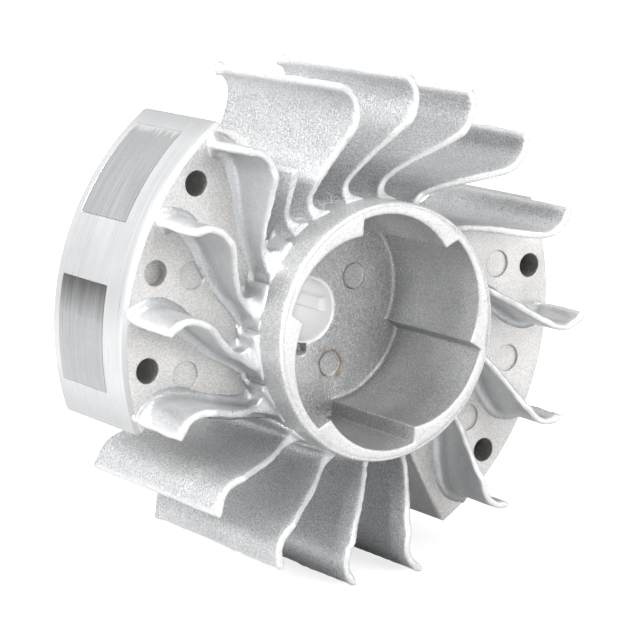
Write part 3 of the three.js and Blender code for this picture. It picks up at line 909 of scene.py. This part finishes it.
magnetSide = sectorBlock("magnetSector", lambda r: 198.5 + finLead(r), lambda r: 125.5 + finLead(r))
weightSide = sectorBlock("weightSector", lambda r: 23.6 + finLead(r), lambda r: -62.0, 1.5)
tools = [cutter(poleOutline(s, 0.05), 19.35, 33.85) for s in (-1, 1)]
for spread, depth in ((-23, 19.4), (0, 14.4), (23, 19.4)):
    tools.append(roundCutter(sector["holeCircle"], 162 + spread, sector["holeRadius"], 11, depth))
for radius, degrees in marks[:2]:
    tools.append(roundCutter(radius, degrees, 2.45, 11, sector["front"] + 0.4))
cutAway(magnetSide, tools)
tools = [roundCutter(sector["holeCircle"], a, sector["holeRadius"], 11, 18.4) for a in (8, -42)]
for radius, degrees in marks[2:]:
    tools.append(roundCutter(radius, degrees, 2.45, 11, sector["front"] + 0.4))
cutAway(weightSide, tools)
for block in (magnetSide, weightSide):
    sharpen(block, 35)
    block.data.materials.clear()
    block.data.materials.append(finishes["plate"])
    paintPocketLight(block, 0.6)
    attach(block, "root")
    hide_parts("body_casting")
    print(block.name, "made:", len(block.data.polygons))


groundFace = {
    "light": 0.62,
    "dark": 0.50,
    "topRaggedFrom": 47.2,
    "topRaggedTo": 49.2,
    "darkReflectionFrom": 12.6,
    "darkReflectionTo": 4.5,
}


def groundSteel():
    # pole faces ground with the band: grey steel with fine marks running round the wheel, and a painted dark
    # reflection towards the top of the lower pole face
    f = Finish("groundSteel")
    parts = f.add("ShaderNodeSeparateXYZ", {0: f.where})
    around = f.aroundFromLeft(parts)
    lines = f.streaks((30.0, 2600.0, 30.0), 4.0, 0.65)
    cloud = f.noise(140.0, 4.0, 0.6)
    dark, light = grey(groundFace["dark"], -0.015), grey(groundFace["light"], -0.015)
    shade = f.mix(f.span(lines, 0.3, 0.7), dark, light)
    shade = f.mix(f.span(cloud, 0.45, 0.75, 0.0, 0.3), shade, grey(0.40, -0.01))
    streaks = f.streaks((60.0, 1500.0, 60.0), 3.0, 0.6)
    # painted reflection: the lower pole face darkens towards its top end
    darkReflection = f.math("ADD", around, f.span(streaks, 0.3, 0.7, -1.2, 1.2))
    darkReflection = f.span(darkReflection, groundFace["darkReflectionTo"], groundFace["darkReflectionFrom"])
    shade = f.mix(f.math("MULTIPLY", darkReflection, f.math("LESS_THAN", around, 20.0)), shade, grey(0.16))
    ragged = f.math("ADD", around, f.span(streaks, 0.35, 0.65, -1.3, 1.3))
    smeared = f.span(ragged, groundFace["topRaggedFrom"] + 0.8, groundFace["topRaggedTo"])
    shade = f.mix(smeared, shade, grey(0.80))
    rough = f.span(lines, 0.3, 0.7, 0.30, 0.46)
    return f.set(Base_Color=shade, Roughness=rough, Metallic=0.9, Normal=f.bump(lines, 0.25, 0.00004))


def rustySteel():
    f = Finish("rustySteel")
    spots = f.span(f.noise(900.0, 5.0, 0.65), 0.42, 0.62)
    shade = f.mix(spots, grey(0.30, 0.05), (0.23, 0.10, 0.05, 1))
    rough = f.span(spots, 0, 1, 0.4, 0.85)
    metal = f.span(spots, 0, 1, 0.9, 0.2)
    return f.set(Base_Color=shade, Roughness=rough, Metallic=metal, Normal=f.bump(spots, 0.4, 0.0001))


def magnetFinish():
    f = Finish("magnetFerrite")
    cloud = f.noise(400.0, 4.0, 0.6)
    shade = f.mix(f.span(cloud, 0.35, 0.7), grey(0.05), grey(0.10))
    rough = f.span(cloud, 0.3, 0.7, 0.5, 0.7)
    return f.set(Base_Color=shade, Roughness=rough, Metallic=0.1, Normal=f.bump(cloud, 0.3, 0.0001))


steel, rust, ferrite = groundSteel(), rustySteel(), magnetFinish()
for name, node in frame["nodes"].items():
    if name == "body_casting":
        continue
    chosen = ferrite if name == "magnet" else rust if name == "counterweight_bar" else steel
    node.data.materials.clear()
    node.data.materials.append(chosen)
print("inserts finished")


floorLevel = min(v.co.z for v in fins.data.vertices) - 0.00002


def stageSet():
    wide = 3000
    corners = [(-wide, -wide, 0), (wide, -wide, 0), (wide, wide, 0), (-wide, wide, 0)]
    floor = meshObject("floor", corners, [(0, 1, 2, 3)])
    floor.location.z = floorLevel
    f = Finish("paper")
    cloud = f.noise(3.0, 2.0, 0.5)
    f.set(Base_Color=f.mix(cloud, grey(0.56), grey(0.59)), Roughness=0.9)
    seenDirectly = f.add("ShaderNodeLightPath").outputs["Is Camera Ray"]
    glow = f.add("ShaderNodeEmission", {"Strength": f.math("MULTIPLY", seenDirectly, 0.72)})
    both = f.add("ShaderNodeAddShader", {0: f.shader.outputs[0], 1: glow.outputs[0]})
    f.tree.links.new(both.outputs[0], f.out.inputs[0])
    floor.data.materials.append(f.material)
    world = bpy.data.worlds.new("studio")
    bpy.context.scene.world = world
    world.use_nodes = True
    tree = world.node_tree
    tree.nodes.clear()
    add = tree.nodes.new
    link = tree.links.new
    out, mixed = add("ShaderNodeOutputWorld"), add("ShaderNodeMixShader")
    seen, lighting = add("ShaderNodeBackground"), add("ShaderNodeBackground")
    path, direction = add("ShaderNodeLightPath"), add("ShaderNodeTexCoord")
    towards, span = add("ShaderNodeVectorMath"), add("ShaderNodeMapRange")
    towards.operation = "DOT_PRODUCT"
    towards.inputs[1].default_value = Vector((-0.6, 0.05, 0.8)).normalized()
    link(direction.outputs["Generated"], towards.inputs[0])
    span.interpolation_type = "SMOOTHSTEP"
    for key, value in (("From Min", -0.75), ("From Max", 0.85), ("To Min", 0.16), ("To Max", 1.0)):
        span.inputs[key].default_value = value
    link(towards.outputs["Value"], span.inputs["Value"])
    link(span.outputs["Result"], lighting.inputs["Strength"])
    seen.inputs["Color"].default_value = (1, 1, 1, 1)
    seen.inputs["Strength"].default_value = 1.0
    link(path.outputs["Is Camera Ray"], mixed.inputs[0])
    link(lighting.outputs[0], mixed.inputs[1])
    link(seen.outputs[0], mixed.inputs[2])
    link(mixed.outputs[0], out.inputs[0])
    bpy.context.scene.view_settings.view_transform = "Standard"
    bpy.context.scene.view_settings.look = "None"


def softbox(name, azimuth, elevation, distance, size, power, aim=(0, 0.02, 0)):
    lamp = bpy.data.lights.new(name, "AREA")
    lamp.shape = "RECTANGLE"
    lamp.size, lamp.size_y = size
    lamp.energy = power
    made = bpy.data.objects.new(name, lamp)
    bpy.context.collection.objects.link(made)
    az, el = math.radians(azimuth), math.radians(elevation)
    away = Vector((math.sin(az) * math.cos(el), -math.cos(az) * math.cos(el), math.sin(el)))
    made.location = Vector(aim) + away * distance
    made.rotation_euler = (-away).to_track_quat("-Z", "Y").to_euler()
    return made


def boreSpot():
    # a narrow beam that brightens the bore only
    lamp = bpy.data.lights.new("boreSpot", "SPOT")
    lamp.energy, lamp.spot_size, lamp.spot_blend, lamp.shadow_soft_size = 7.0, math.radians(1.9), 0.5, 0.01
    made = bpy.data.objects.new("boreSpot", lamp)
    bpy.context.collection.objects.link(made)
    away = Vector((-0.565, -0.80, 0.2)).normalized()
    made.location = Vector((0, 0.027, 0)) + away * 0.45
    made.rotation_euler = (-away).to_track_quat("-Z", "Y").to_euler()


view = {"azimuth": -35.2, "elevation": 11.5, "distance": 450.0, "right": -12.1, "up": 2.43, "lens": 148.6}


def standCamera():
    az, el = math.radians(view["azimuth"]), math.radians(view["elevation"])
    back = Vector((math.sin(az) * math.cos(el), -math.cos(az) * math.cos(el), math.sin(el)))
    right = (-back).cross(Vector((0, 0, 1))).normalized()
    up = right.cross(-back)
    spot = (back * view["distance"] + right * view["right"] + up * view["up"]) * mm
    data = bpy.data.cameras.new("camera")
    data.lens = view["lens"]
    data.sensor_width = 36.0
    data.clip_start = 0.01
    made = bpy.data.objects.new("camera", data)
    bpy.context.collection.objects.link(made)
    made.matrix_world = Matrix.Translation(spot) @ Matrix((right, up, back)).transposed().to_4x4()
    bpy.context.scene.camera = made


stageSet()
softbox("keyLight", -85, 35, 0.8, (0.3, 0.3), 7.4)
softbox("frontLight", 12, 25, 1.1, (0.5, 0.5), 3.4)
softbox("rightLight", 42, 4, 0.35, (0.14, 0.14), 0.2, (0.03, 0.012, 0.0))
softbox("topLight", 20, 80, 0.8, (0.5, 0.4), 2.0)
boreSpot()
standCamera()
print("stage ready")
